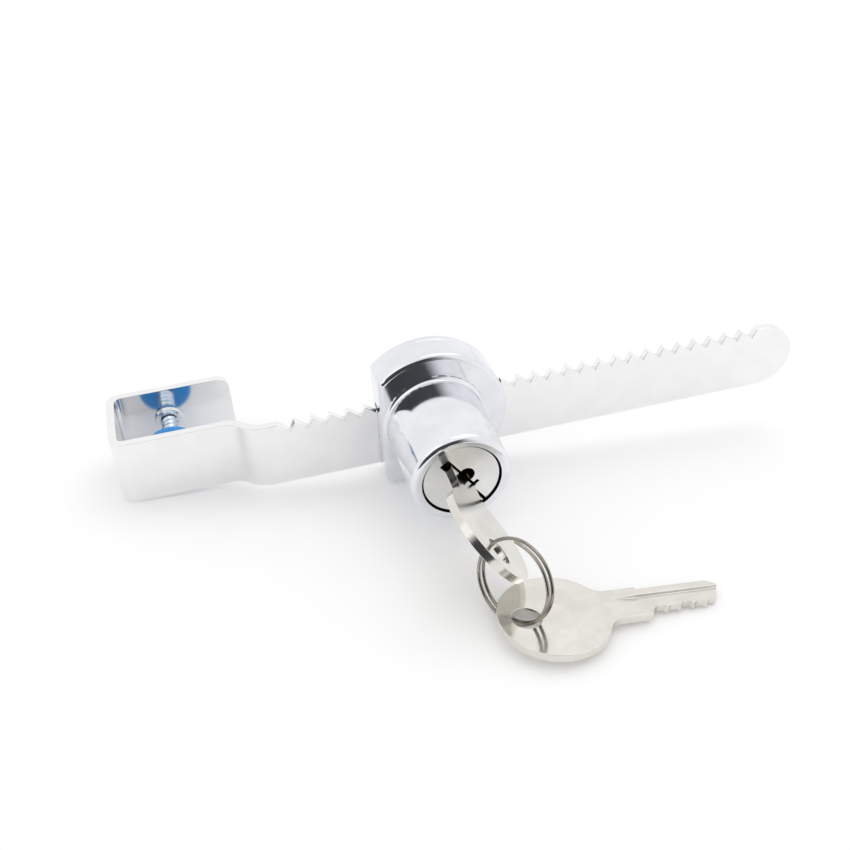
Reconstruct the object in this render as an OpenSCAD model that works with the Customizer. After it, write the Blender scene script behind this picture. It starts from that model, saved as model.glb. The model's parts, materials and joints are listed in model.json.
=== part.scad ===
// Ratchet lock for sliding glass cabinet doors.
// A toothed flat bar ends in a hook that a screw clamps on the edge of the rear glass.
// The lock body slides on the bar up to the edge of the front glass, and its pawl holds it there.
// Origin: where the axis of the clamp screw meets the glass-bearing face of the hook.
// X runs along the bar away from the hook, Y to the back, Z up. Millimetres.

/* [Ratchet bar] */
// Thickness of the strip
bar_t = 1.5; // [1.2:0.1:2]
// Height of the strip
bar_h = 13; // [12:0.5:15]
// Round end of the bar, from the clamp screw's axis
bar_reach = 119.5; // [116:0.5:140]
// Bar stands this far in front of the hook's front leaf
jog_offset = 3.2; // [2:0.1:5]
// Start of the jog, from the clamp screw's axis
jog_start = 9.5; // [8:0.5:10]
// Length of the jog
jog_run = 7; // [6:0.25:8]
// Distance from tooth to tooth
tooth_pitch = 3.2; // [3:0.05:3.3]
// Depth of the teeth
tooth_depth = 1.8; // [1.4:0.1:2]
// Run of the steep, holding side of a tooth
tooth_steep = 0.85; // [0.6:0.05:1]
// Flat left on the tip of a tooth
tooth_land = 0.2; // [0.1:0.05:0.4]
// First notch, from the clamp screw's axis
first_notch = 21.14; // [20.5:0.1:22]

/* [Hook] */
// Clear width of the hook's jaw
jaw_gap = 13.3; // [11:0.1:16]
// Outer end of the hook, from the clamp screw's axis
hook_end = 10.5; // [9:0.5:14]
// Inner radius of the hook's bends
hook_bend = 1.1; // [0.8:0.1:2]
// Free end of the back leaf, from the clamp screw's axis
back_leaf = 12.2; // [8:0.2:16]
// Corner radius of the back leaf
leaf_corner = 2; // [1:0.25:3]
// Outer radius of the collar drawn up round the screw hole
collar_r = 2.6; // [2.3:0.1:3]
// Height of that collar
collar_h = 0.9; // [0.5:0.1:1.5]

/* [Clamp] */
// Radius of the clamp screw's thread
screw_r = 1.5; // [1.2:0.05:1.8]
// Radial clearance of the thread in its hole
screw_clear = 0.1; // [0.08:0.01:0.15]
// Radius of the screw's head
screw_head_r = 2.8; // [2.4:0.1:3.2]
// Height of the screw's head
screw_head_h = 2; // [1.6:0.1:2.6]
// Free thread between the back leaf and the head
screw_spare = 3.1; // [2.4:0.1:4]
// Width of the driver slot
screw_slot = 0.8; // [0.6:0.05:1]
// Radius of the clamp pad
pad_r = 5; // [4:0.25:5.5]
// Thickness of the clamp pad
pad_t = 1.8; // [1.4:0.1:2.4]
// Gap from the pad to the glass-bearing face
pad_gap = 2.2; // [2.1:0.05:2.6]

/* [Lock body] */
// Notch that the pawl's nose stands over
rest_notch = 8; // [7:1:10]
// Nose of the pawl, to the right of the barrel's axis
nose_off = 0.24; // [-0.5:0.02:0.5]
// Height of the barrel's axis over the middle of the bar
axis_z = 3.64; // [3.4:0.02:3.9]
// Radius of the head
head_r = 13.65; // [13.4:0.05:15]
// Head in front of the bar
head_front = 3.9; // [3.6:0.1:4.2]
// Left flat of the head, from the barrel's axis
flat_off = 9.6; // [9:0.1:11]
// Foot of the head below the barrel's axis, at the flat
foot_drop = 12.1; // [11.4:0.1:12.4]
// Reach of that foot to the right of the flat
foot_w = 6; // [4:0.5:8]
// Thickness of the back cover
cover_t = 1.35; // [1:0.05:2]
// Radius of the barrel
barrel_r = 8.8; // [8.6:0.05:9.4]
// Front of the barrel, from the front face of the bar
barrel_reach = 21.5; // [21.5:0.5:24]
// Rounding of the barrel's front edge
rim_round = 1.1; // [0.6:0.1:1.4]
// Rounding of the head's front edge
head_round = 1; // [0.6:0.1:1.2]
// Chamfer along the front edge of the left flat
flat_chamfer = 0.8; // [0.5:0.1:0.9]
// Fillet between head and barrel
root_fillet = 0.9; // [0.5:0.1:1.2]
// Clearance of the bar in its channel
bar_clear = 0.15; // [0.1:0.01:0.2]

/* [Plug] */
// Radius of the plug's body
plug_r = 6; // [5.8:0.05:6.2]
// Radial running clearance of the plug
plug_clear = 0.08; // [0.05:0.01:0.1]
// Radius of the plug's face
face_r = 6.62; // [6.5:0.02:6.7]
// Gap round the plug's face
face_gap = 0.36; // [0.3:0.02:0.4]
// Thickness of the plug's face
face_t = 1.5; // [1.2:0.1:2]
// Face set back from the barrel's rim
face_sink = 0.4; // [0.3:0.05:0.8]
// Turn of the key from upright, seen from the front, anticlockwise
key_turn = 36; // [30:1:40]
// Whole turn of the plug, starting upright
plug_travel = 90; // [80:1:95]
// Thickness of a wafer
wafer_t = 1; // [0.8:0.05:1.1]
// Width of a wafer
wafer_w = 4.6; // [4.4:0.05:4.8]
// First wafer behind the plug's face
wafer_first = 2.8; // [2.7:0.05:3]
// Clearance of wafers and key in their slots
slot_clear = 0.12; // [0.1:0.01:0.15]

/* [Pawl] */
// Distance of the tail pin from the barrel's axis
pin_off = 2.65; // [2.6:0.05:2.8]
// Radius of the tail pin
pin_r = 1; // [0.8:0.05:1.1]
// Gap under the pawl's nose when it is down in a notch
nose_gap = 0.45; // [0.4:0.05:0.45]
// Half width of the pawl's head
pawl_half = 3; // [2.8:0.1:3.2]
// Height of the pawl's head
pawl_head_h = 3.1; // [2.9:0.1:3.3]
// Thickness of the pawl's plate
pawl_t = 1.7; // [1.5:0.05:1.75]
// Clearance round the pawl
pawl_clear = 0.2; // [0.15:0.01:0.25]
// Outer radius of the pawl's spring
spring_r = 0.95; // [0.8:0.05:0.95]
// Wire radius of the pawl's spring
spring_wire = 0.15; // [0.12:0.01:0.18]

/* [Keys] */
// Thickness of a key
key_t = 1.4; // [1.3:0.05:1.5]
// Radius of the bow's two ends
bow_r = 9; // [8.8:0.05:9.2]
// Middle of each of them, across the key
bow_off = 0.15; // [0.1:0.05:0.3]
// Length of a key
key_len = 37.5; // [37.1:0.1:37.9]
// Length of the key inside the plug
key_in = 14; // [13.8:0.1:14.2]
// Key-ring hole, from the end of the bow
hole_in = 4.5; // [4.4:0.05:4.7]
// Radius of the key-ring hole
hole_r = 2.4; // [2.35:0.05:2.5]
// Shoulder inside the plug's face
shoulder_in = 0.2; // [0.1:0.05:0.4]
// Shoulder above the middle of the key
shoulder_top = 4; // [3.8:0.1:4.2]
// Shoulder below the middle of the key
shoulder_low = 2.7; // [2.5:0.1:2.9]
// Lower shoulder beyond the upper one, along the key
shoulder_skew = 0.8; // [0.5:0.1:1]
// Blade above the middle of the key
blade_top = 3.5; // [3.3:0.05:3.6]
// Blade below the middle of the key
blade_low = 1.5; // [1.4:0.05:1.6]
// Last cut of the blade, from the tip
tip_room = 2.2; // [2.15:0.05:2.4]
// Bevel of the tip's plain corner
tip_bevel = 1.6; // [1.2:0.1:1.8]
// Slant of the tip, back towards its cut corner
tip_slant = 1.6; // [1.4:0.05:1.6]
// Fillet between bow and shoulder
neck_r = 3; // [2:0.25:4]
// Width of the groove in the blade
groove_w = 1.9; // [1.6:0.1:2]
// Depth of the groove in the blade
groove_d = 0.45; // [0.3:0.05:0.5]
// Radius of the mill that runs the groove out towards the bow
mill_r = 25; // [15:1:30]

/* [Key ring] */
// Radius of the ring at the middle of its wire
ring_r = 6.845; // [6.775:0.005:6.915]
// Radius of the wire
wire_r = 0.32; // [0.28:0.01:0.34]
// Distance between the two turns
ring_pitch = 1.1; // [1.06:0.01:1.2]
// Direction that the ring's axis faces, from +X
ring_yaw = 30.79; // [30:0.01:31.6]
// Rise of the ring's axis
ring_rise = -16.41; // [-17.2:0.01:-15.6]
// Angle round the ring where its wire steps from one turn to the other
ring_step = 49; // [45:1:53]
// Tilt of the spare key, its tip down to the right
spare_tilt = 6.62; // [6.3:0.01:6.9]
// Lean of the spare key, its cut edge up
spare_lean = 4.45; // [4.2:0.01:4.7]
// Turn of the spare key, its tip to the front
spare_yaw = 1.84; // [1.3:0.02:2.4]

/* [Hidden] */
$fn = 72;
eps = 0.01;
big = 400;

// Faces of the strip: the hook's glass-bearing face is y = 0
bar_front = -(jog_offset + bar_t);
bar_back = bar_front + bar_t;
jog_angle = 2 * atan(jog_offset / jog_run);
jog_r = jog_run / (2 * sin(jog_angle));
jog_end = jog_start + jog_run;
bar_middle = bar_front + bar_t / 2;
leaf_middle = -bar_t / 2;
tooth_count = floor((bar_reach - bar_h / 2 - 2 - first_notch) / tooth_pitch) + 1;
bend_r = hook_bend + bar_t / 2;
back_face = jaw_gap;
screw_hole_r = screw_r + screw_clear;
tip_r = screw_r * 0.67;
tip_len = pad_t * 0.55;
tip_play = 0.06;

// Lock frame: barrel axis at x = z = 0, front face of the bar at y = 0
lock_x = first_notch + rest_notch * tooth_pitch - nose_off;
bar_top = bar_h / 2 - axis_z;
bar_bottom = -bar_h / 2 - axis_z;
notch_z = bar_top - tooth_depth;
cover_y = bar_t + bar_clear;
face_y = -barrel_reach + face_sink;
bore_r = plug_r + plug_clear;
mouth_r = face_r + face_gap;

// Tail pin and pawl: the pin swings evenly about the level, so the lift is nearly even
pin_start = -plug_travel / 2;
pin_angle = pin_start + key_turn;
lift_rate = 2 * pin_off * sin(plug_travel / 2) / plug_travel;
rest_lift = lift_rate * key_turn;
full_lift = lift_rate * plug_travel;
pin_slack = 0.03 * pin_off + 0.12;
slot_z = pin_off * sin(pin_start);
pin_slot_h = 2 * (pin_r + pin_slack);
plate_front = -(pawl_t + 2 * pawl_clear);
plate_back = -2 * pawl_clear;
plate_low = slot_z - pin_slot_h / 2 - 1.4;
plate_right = pin_off + pin_r + pin_slack + 1.3;
head_low = bar_top + nose_gap;
head_top = head_low + pawl_head_h;
plate_top = head_low + 0.9;
plate_step = slot_z + pin_slot_h / 2 + 1;
head_fore = -1.5;
head_aft = bar_t;
plug_back = plate_front - pawl_clear - 0.1;
clip_t = 0.7;
clip_wall = 0.35;
clip_front = plug_back - clip_wall - clip_t;
clip_r = 7.1;
clip_root = 5.2;
clip_play = 0.05;
pin_play = 0.02;
pin_deep = 2.5;
chamber_top = head_top + full_lift + pawl_clear;
spring_roof = chamber_top + 1.8;
spring_foot = head_top - 2;
spring_hole_r = spring_r + slot_clear;

// Keyway and wafers, in the plug's own frame with the key upright
keyway_half = key_t / 2 + 2 * slot_clear;
keyway_top = 4.9;
keyway_low = shoulder_low + 0.3;
slit_half = 0.3;
key_out = key_len - key_in;
shoulder = key_out + shoulder_in;
low_shoulder = shoulder + shoulder_skew;
keyway_end = face_y + key_in + 0.6;
wafer_count = 5;
wafer_pitch = (key_in - wafer_first - tip_room) / (wafer_count - 1);
wafer_half = wafer_w / 2;
wafer_tall = sqrt(pow(plug_r, 2) - pow(wafer_half, 2)) - 0.15;
window_top = blade_top + 0.35;
window_low = blade_low + 0.35;
lug_w = 1.2;
lug_h = 0.9;
lug_z = -2.6;
coil_r = 0.5;
coil_wire = 0.1;
coil_top = 3.6;

// Rivets of the back cover, in the lock frame
rivet_r = 0.9;
rivet_head_r = 1.4;
rivet_head_h = 0.6;
rivet_deep = 2.4;
rivet_places = [[-flat_off + 2.6, 8.2], [7.4, 7.6], [0, (bar_bottom - bar_clear - head_r) / 2]];

// Key ring: two turns about an axis, lying through both key holes
ring_axis = [cos(ring_rise) * cos(ring_yaw), cos(ring_rise) * sin(ring_yaw), sin(ring_rise)];
ring_level = [-sin(ring_yaw), cos(ring_yaw), 0];
ring_up = cross(ring_axis, ring_level);
hole_1 = [lock_x, bar_front + face_y - key_out + hole_in, axis_z];
ring_centre = hole_1 + ring_r * [0.2675, -0.5122, -0.4752];
hole_2 = ring_centre + ring_r * [0.0822, -0.5714, -0.7506];
ring_first = ring_step + 30;
ring_turns = 660;
ring_cross = 60;
ring_steps = 44;
ring_sides = 6;

// Unit vector from the ring's centre to its wire at an angle
function ring_spoke(turn) = cos(turn) * ring_level + sin(turn) * ring_up;

// Eased step from 0 to 1
function ease(s) = let (c = min(max(s, 0), 1)) c * c * (3 - 2 * c);

// Sets children in the lock frame
module in_lock() {
    translate([lock_x, bar_front, axis_z]) children();
}

// Sets children in the plug's frame, turned with the key
module in_plug() {
    in_lock() rotate([0, -key_turn, 0]) children();
}

// Cylinder along +Y from one y to another
module rod_y(r, from_y, to_y) {
    translate([0, from_y, 0]) rotate([-90, 0, 0]) cylinder(r = r, h = to_y - from_y);
}

// Box between two corners
module block(low, high) {
    translate(low) cube(high - low);
}

// Straight piece of the strip along X between two x, by the y of its middle
module strip_x(from_x, to_x, middle) {
    block([from_x, middle - bar_t / 2, -bar_h / 2], [to_x, middle + bar_t / 2, bar_h / 2]);
}

// Quarter bend of the strip about a point, from an angle
module bend(at, from_angle) {
    translate([at[0], at[1], 0]) rotate([0, 0, from_angle]) rotate_extrude(angle = 90)
        translate([bend_r, 0]) square([bar_t, bar_h], center = true);
}

// Points along one side of the jog, offset from its middle
function jog_side(out, steps) = concat(
    [for (i = [0 : steps]) let (a = jog_angle * i / steps)
        [jog_end - (jog_r + out) * sin(a), bar_middle + jog_r - (jog_r + out) * cos(a)]],
    [for (i = [1 : steps]) let (a = jog_angle * (1 - i / steps))
        [jog_start + (jog_r - out) * sin(a), leaf_middle - jog_r + (jog_r - out) * cos(a)]]);

// The jog between bar and hook, two equal bends
module jog() {
    front = jog_side(bar_t / 2, 8);
    back = jog_side(-bar_t / 2, 8);
    translate([0, 0, -bar_h / 2]) linear_extrude(bar_h)
        polygon(concat(front, [for (i = [len(back) - 1 : -1 : 0]) back[i]]));
}

// Tube swept through points, with an outward and an axial direction at each point
module swept_wire(points, outs, axes, r, sides) {
    last = len(points) - 1;
    verts = [for (i = [0 : last], k = [0 : sides - 1])
        let (a = 360 * k / sides) points[i] + r * (cos(a) * outs[i] + sin(a) * axes[i])];
    side_faces = [for (i = [0 : last - 1], k = [0 : sides - 1])
        let (p = i * sides + k, q = i * sides + (k + 1) % sides)
            each [[p, q + sides, q], [p, p + sides, q + sides]]];
    end_faces = [for (k = [1 : sides - 2])
        each [[0, k, k + 1], [last * sides, last * sides + k + 1, last * sides + k]]];
    polyhedron(verts, concat(side_faces, end_faces));
}

// Wound spring along +Z from z = 0
module coil(r, wire, height, turns) {
    steps = turns * 8;
    span = height - 2 * wire;
    angles = [for (i = [0 : steps]) 360 * turns * i / steps];
    swept_wire(
        [for (i = [0 : steps])
            [(r - wire) * cos(angles[i]), (r - wire) * sin(angles[i]), wire + span * i / steps]],
        [for (a = angles) [cos(a), sin(a), 0]],
        [for (a = angles) [0, 0, 1]],
        wire, 6);
}

// Toothed edge cut: one triangle per notch
module notches() {
    for (i = [0 : tooth_count - 1])
        translate([first_notch + i * tooth_pitch, 0, bar_h / 2 - tooth_depth])
            rotate([90, 0, 0]) translate([0, 0, -big / 2]) linear_extrude(big)
                polygon([[0, 0], [tooth_steep, tooth_depth], [tooth_steep, tooth_depth + 1],
                    [tooth_land + tooth_steep - tooth_pitch, tooth_depth + 1],
                    [tooth_land + tooth_steep - tooth_pitch, tooth_depth]]);
}

module ratchet_bar() {
    end_r = bar_h / 2;
    bend_x = -hook_end + bar_t + hook_bend;
    color("gainsboro") difference() {
        union() {
            strip_x(jog_end, bar_reach, bar_middle);
            jog();
            strip_x(bend_x, jog_start, leaf_middle);
            bend([bend_x, hook_bend], 180);
            block([-hook_end, hook_bend, -bar_h / 2], [-hook_end + bar_t, jaw_gap - hook_bend, bar_h / 2]);
            bend([bend_x, jaw_gap - hook_bend], 90);
            strip_x(bend_x, back_leaf, back_face + bar_t / 2);
            rod_y(collar_r, back_face - collar_h, back_face + eps);
        }
        notches();
        difference() {
            block([bar_reach - end_r, bar_front - 1, -bar_h], [bar_reach + 1, bar_back + 1, bar_h]);
            translate([bar_reach - end_r, 0, 0]) rod_y(end_r, bar_front - 2, bar_back + 2);
        }
        for (up = [-1, 1])
            translate([back_leaf - leaf_corner, 0, up * (bar_h / 2 - leaf_corner)])
                difference() {
                    block([0, back_face - 1, up > 0 ? 0 : -leaf_corner - 1],
                        [leaf_corner + 1, back_face + bar_t + 1, up > 0 ? leaf_corner + 1 : 0]);
                    rod_y(leaf_corner, back_face - 2, back_face + bar_t + 2);
                }
        rod_y(screw_hole_r, back_face - collar_h - 1, back_face + bar_t + 1);
    }
}

module clamp_screw() {
    seat_y = back_face + bar_t + screw_spare;
    color("lightsteelblue") difference() {
        union() {
            rod_y(screw_r, pad_gap + pad_t + tip_play, seat_y + eps);
            rod_y(tip_r, pad_gap + pad_t - tip_len, pad_gap + pad_t + 1);
            translate([0, seat_y, 0]) rotate([-90, 0, 0]) rotate_extrude()
                polygon([[0, 0], [screw_head_r, 0], [screw_head_r, screw_head_h * 0.55],
                    [screw_head_r * 0.8, screw_head_h * 0.9], [screw_head_r * 0.5, screw_head_h],
                    [0, screw_head_h]]);
        }
        block([-big, seat_y + screw_head_h / 2, -screw_slot / 2],
            [big, seat_y + screw_head_h + 1, screw_slot / 2]);
    }
}

module clamp_pad() {
    edge = 0.4;
    socket_r = tip_r + tip_play;
    socket_z = pad_t - tip_len - tip_play;
    color("deepskyblue") translate([0, pad_gap, 0]) rotate([-90, 0, 0]) rotate_extrude()
        polygon([[0, 0], [pad_r - edge, 0], [pad_r, edge], [pad_r, pad_t - edge], [pad_r - edge, pad_t],
            [socket_r, pad_t], [socket_r, socket_z], [0, socket_z]]);
}

// Outline of the square foot under the head's flat, with a rounded corner
module foot_outline() {
    round = 1;
    translate([-flat_off, round - foot_drop]) square([foot_w, foot_drop - round]);
    translate([round - flat_off, -foot_drop]) square([foot_w - round, foot_drop]);
    translate([round - flat_off, round - foot_drop]) circle(round);
}

// Outline of the head: a disc with a flat to the left and the foot under the flat
module head_outline() {
    difference() {
        circle(head_r);
        translate([-big - flat_off, -big / 2]) square([big, big]);
    }
    foot_outline();
}

// Extrudes an outline drawn as seen from the front, from one y to another
module plate_y(from_y, to_y) {
    translate([0, to_y, 0]) rotate([90, 0, 0]) linear_extrude(to_y - from_y) children();
}

// Half section of head and barrel, radius against distance in front of the bar
module body_section() {
    arc = 6;
    polygon(concat(
        [[0, -cover_y], [head_r, -cover_y]],
        [for (i = [0 : arc]) let (a = 90 * i / arc)
            [head_r - head_round * (1 - cos(a)), head_front - head_round * (1 - sin(a))]],
        [for (i = [0 : arc]) let (a = 90 * i / arc)
            [barrel_r + root_fillet * (1 - sin(a)), head_front + root_fillet * (1 - cos(a))]],
        [for (i = [0 : arc]) let (a = 90 * i / arc)
            [barrel_r - rim_round * (1 - cos(a)), barrel_reach - rim_round * (1 - sin(a))]],
        [[0, barrel_reach]]));
}

module lock_housing() {
    color("silver") in_lock() difference() {
        union() {
            difference() {
                rotate([90, 0, 0]) rotate_extrude() body_section();
                block([-big, -head_front - eps, -big / 2], [-flat_off, big, big / 2]);
            }
            plate_y(-head_front, cover_y) foot_outline();
        }
        // Chamfer along the flat, which ends at the root of the barrel
        difference() {
            translate([-flat_off, -head_front, -big / 2]) linear_extrude(big)
                polygon([[-1, flat_chamfer + 1], [-1, -1], [flat_chamfer + 1, -1]]);
            rod_y(barrel_r + root_fillet, -head_front - 2, 0);
        }
        // Bore of the plug, its mouth and the room for its clip
        rod_y(bore_r, -barrel_reach - 1, 0);
        rod_y(mouth_r, -barrel_reach - 1, face_y + face_t + face_gap / 2);
        rod_y(clip_r + 0.3, clip_front - clip_play, 0);
        // Channel of the bar
        block([-big, -bar_clear, bar_bottom - bar_clear], [big, cover_y + 1, bar_top + bar_clear]);
        // Pocket of the pawl's plate, and chamber of its head
        block([-pawl_half - pawl_clear, plate_front - pawl_clear, plate_low - pawl_clear],
            [plate_right + pawl_clear, 0, plate_step + full_lift + pawl_clear]);
        block([-pawl_half - pawl_clear, plate_front - pawl_clear, 0],
            [pawl_half + pawl_clear, 0, plate_top + full_lift + pawl_clear]);
        block([-pawl_half - pawl_clear + nose_off, head_fore - pawl_clear, bar_top],
            [pawl_half + pawl_clear + nose_off, cover_y + 1, chamber_top]);
        translate([nose_off, 0, chamber_top - eps])
            cylinder(r = spring_hole_r, h = spring_roof - chamber_top + eps);
        for (p = rivet_places)
            translate([p[0], 0, p[1]]) rod_y(rivet_r + pin_play, cover_y - rivet_deep, cover_y + 1);
    }
}

module back_cover() {
    color("gainsboro") in_lock() difference() {
        plate_y(cover_y, cover_y + cover_t) head_outline();
        for (p = rivet_places)
            translate([p[0], 0, p[1]]) rod_y(rivet_r + pin_play, cover_y - 1, cover_y + cover_t + 1);
    }
}

module cover_rivets() {
    color("darkgray") in_lock() for (p = rivet_places)
        translate([p[0], 0, p[1]]) union() {
            rod_y(rivet_r, cover_y - rivet_deep, cover_y + cover_t + eps);
            translate([0, cover_y + cover_t, 0]) rotate([-90, 0, 0]) rotate_extrude()
                polygon([[0, 0], [rivet_head_r, 0], [rivet_head_r * 0.85, rivet_head_h * 0.7],
                    [rivet_head_r * 0.5, rivet_head_h], [0, rivet_head_h]]);
        }
}

// Middle of wafer number i, counted from the face
function wafer_y(i) = face_y + wafer_first + (i - 1) * wafer_pitch;

module plug() {
    ward_r = 1.35;
    ward_x = 1.2;
    ward_deep = 2;
    tab = 0.6;
    color("silver") in_plug() difference() {
        union() {
            rod_y(plug_r, face_y + face_t - eps, plug_back);
            rod_y(face_r, face_y, face_y + face_t);
        }
        block([-keyway_half, face_y - 1, -keyway_low], [keyway_half, keyway_end, keyway_top]);
        block([-slit_half, face_y - 1, -big / 2], [slit_half, face_y + face_t + 1, 0]);
        translate([ward_x, 0, 0]) rod_y(ward_r, face_y - 1, face_y + ward_deep);
        block([0, face_y - 1, -2.5 - tab / 2], [ward_x + tab, face_y + ward_deep, -2.5 + tab / 2]);
        for (i = [1 : wafer_count]) {
            block([-wafer_half - slot_clear, wafer_y(i) - wafer_t / 2 - slot_clear / 2, -big / 2],
                [wafer_half + slot_clear, wafer_y(i) + wafer_t / 2 + slot_clear / 2, big / 2]);
            block([0, wafer_y(i) - coil_r - slot_clear, lug_z - slot_clear],
                [wafer_half + lug_w + slot_clear, wafer_y(i) + coil_r + slot_clear, coil_top + slot_clear]);
        }
        // Groove of the clip
        difference() {
            rod_y(plug_r + 1, clip_front - clip_play, clip_front + clip_t + clip_play);
            rod_y(clip_root - clip_play, clip_front - 1, clip_front + clip_t + 1);
        }
        rotate([0, key_turn, 0]) rotate([0, -pin_angle, 0]) translate([pin_off, 0, 0])
            rod_y(pin_r + pin_play, plug_back - pin_deep, plug_back + 1);
    }
}

module tail_pin() {
    color("dimgray") in_lock() rotate([0, -pin_angle, 0]) translate([pin_off, 0, 0])
        rod_y(pin_r, plug_back - pin_deep, plate_back);
}

module plug_clip() {
    opening = 7;
    color("gray") in_plug() difference() {
        rod_y(clip_r, clip_front, clip_front + clip_t);
        rod_y(clip_root, clip_front - 1, clip_front + clip_t + 1);
        block([-opening / 2, clip_front - 1, -big / 2], [opening / 2, clip_front + clip_t + 1, 0]);
    }
}

// Wafer number i, counted from the face
module wafer(i) {
    color("goldenrod") in_plug() translate([0, wafer_y(i), 0]) difference() {
        union() {
            block([-wafer_half, -wafer_t / 2, -wafer_tall], [wafer_half, wafer_t / 2, wafer_tall]);
            block([0, -wafer_t / 2, lug_z], [wafer_half + lug_w, wafer_t / 2, lug_z + lug_h]);
        }
        block([-keyway_half, -wafer_t, -window_low], [keyway_half, wafer_t, window_top]);
    }
}

// Spring that lifts wafer number i
module wafer_spring(i) {
    color("gray") in_plug() translate([wafer_half + lug_w - coil_r, wafer_y(i), lug_z + lug_h])
        coil(coil_r, coil_wire, coil_top - lug_z - lug_h, 8);
}

// Pawl, drawn down in a notch and lifted to its place at rest
module pawl() {
    slope = (tooth_pitch - tooth_land - tooth_steep) / tooth_depth;
    wedge = tooth_steep / tooth_depth;
    color("slategray") in_lock() translate([0, 0, rest_lift]) difference() {
        union() {
            block([-pawl_half + nose_off, head_fore, head_low], [pawl_half + nose_off, head_aft, head_top]);
            block([-pawl_half, plate_front, plate_low], [plate_right, plate_back, plate_step]);
            block([-pawl_half, plate_front, plate_low], [pawl_half, plate_back, plate_top]);
            translate([nose_off, head_aft, notch_z + nose_gap]) rotate([90, 0, 0]) linear_extrude(bar_t)
                polygon([[0, 0], [wedge * tooth_depth, tooth_depth + eps],
                    [-slope * tooth_depth, tooth_depth + eps]]);
        }
        block([pin_off * cos(plug_travel / 2) - pin_r - pin_slack, plate_front - 1, slot_z - pin_slot_h / 2],
            [pin_off + pin_r + pin_slack, plate_back + 1, slot_z + pin_slot_h / 2]);
        translate([nose_off, 0, spring_foot]) cylinder(r = spring_hole_r, h = big);
    }
}

module pawl_spring() {
    foot_z = spring_foot + rest_lift;
    color("gray") in_lock() translate([nose_off, 0, foot_z])
        coil(spring_r, spring_wire, spring_roof - foot_z, 7);
}

// Middle of the fillet between bow and shoulder, along the key, for an edge at the given height
function fillet_x(edge) = bow_r + sqrt(pow(bow_r + neck_r, 2) - pow(edge + neck_r - bow_off, 2));

// Direction from the middle of the bow's end to that of the fillet
function fillet_angle(edge) = atan2(edge + neck_r - bow_off, fillet_x(edge) - bow_r);

// Upper edge of a key up to the shoulder: round the bow from its end, then the fillet
function bow_edge(edge) =
    let (from = fillet_angle(edge), round = 28, steps = 6)
    concat(
        [for (i = [0 : round]) let (a = 180 + (from - 180) * i / round)
            [bow_r + bow_r * cos(a), bow_off + bow_r * sin(a)]],
        [for (i = [1 : steps]) let (a = from + 180 + (90 - from) * i / steps)
            [fillet_x(edge) + neck_r * cos(a), edge + neck_r + neck_r * sin(a)]]);

// Edge points of the cut for wafer number i, from tip to shoulder
function cut_points(i) =
    let (depth = [0.6, 0.4, 0.8, 0.5, 0.7][i - 1], half = wafer_t / 2,
        x = key_out + wafer_first + (i - 1) * wafer_pitch)
    [[x + half, depth - blade_low], [x - half, depth - blade_low]];

// Outline of a key: x from the end of the bow to the tip, y up to the plain edge
module key_outline() {
    tip_rise = 0.6;
    top = bow_edge(shoulder_top);
    low = bow_edge(shoulder_low);
    peaks = [for (i = [1 : wafer_count - 1]) key_out + wafer_first + (i - 0.5) * wafer_pitch];
    difference() {
        polygon(concat(
            top,
            [[shoulder, shoulder_top], [shoulder, blade_top], [key_len - tip_bevel, blade_top],
                [key_len, blade_top - 0.8 * tip_bevel], [key_len - tip_slant, tip_rise - blade_low]],
            [for (i = [wafer_count : -1 : 1])
                each concat(cut_points(i), i > 1 ? [[peaks[i - 2], -blade_low]] : [])],
            [[low_shoulder + 0.6, -blade_low], [low_shoulder, -blade_low], [low_shoulder, -shoulder_low]],
            [for (i = [len(low) - 1 : -1 : 0]) [low[i][0], -low[i][1]]]));
        translate([hole_in, 0]) circle(hole_r);
    }
}

// Cutter of the groove in the upper face of a key: a V with a steep side, run out to the bow by a mill
module key_groove() {
    edge_y = 2.1;
    root_y = edge_y - 0.2;
    translate([shoulder, 0, key_t / 2]) rotate([90, 0, 90]) linear_extrude(key_len)
        polygon([[edge_y - groove_w, 1], [edge_y - groove_w, 0], [root_y, -groove_d],
            [edge_y, 0], [edge_y, 1]]);
    translate([shoulder, 0, key_t / 2 - groove_d + mill_r]) rotate([-90, 0, 0]) rotate_extrude()
        polygon([[mill_r - 2, edge_y - groove_w], [mill_r - groove_d, edge_y - groove_w], [mill_r, root_y],
            [mill_r - groove_d, edge_y], [mill_r - 2, edge_y]]);
}

// Key lying flat: length along +X from the end of the bow, plain edge to +Y, middle of its thickness at z = 0
module key_flat() {
    difference() {
        translate([0, 0, -key_t / 2]) linear_extrude(key_t) key_outline();
        key_groove();
    }
}

module key_inserted() {
    color("silver") in_plug() translate([0, face_y - key_out, 0]) rotate([90, 0, 90]) key_flat();
}

module key_spare() {
    color("silver") translate(hole_2) rotate([-spare_lean, spare_tilt, 0]) rotate([0, 0, -spare_yaw])
        translate([-hole_in, 0, 0]) key_flat();
}

module split_ring() {
    turns = [for (i = [0 : ring_steps]) ring_first + ring_turns * i / ring_steps];
    start = ring_first + (ring_turns - ring_cross) / 2;
    rises = [for (a = turns) ring_pitch * (ease((a - start) / ring_cross) - 0.5)];
    middles = [for (i = [0 : ring_steps]) ring_centre + ring_r * ring_spoke(turns[i]) + rises[i] * ring_axis];
    gap = min([for (i = [0 : ring_steps], k = [0 : ring_steps])
        if (abs(turns[i] - turns[k]) > 180) norm(middles[i] - middles[k])]) - 2 * wire_r;
    echo("least gap between the turns of the ring", gap);
    color("lightgray") swept_wire(middles, [for (a = turns) ring_spoke(a)], [for (a = turns) ring_axis],
        wire_r, ring_sides);
}

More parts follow.
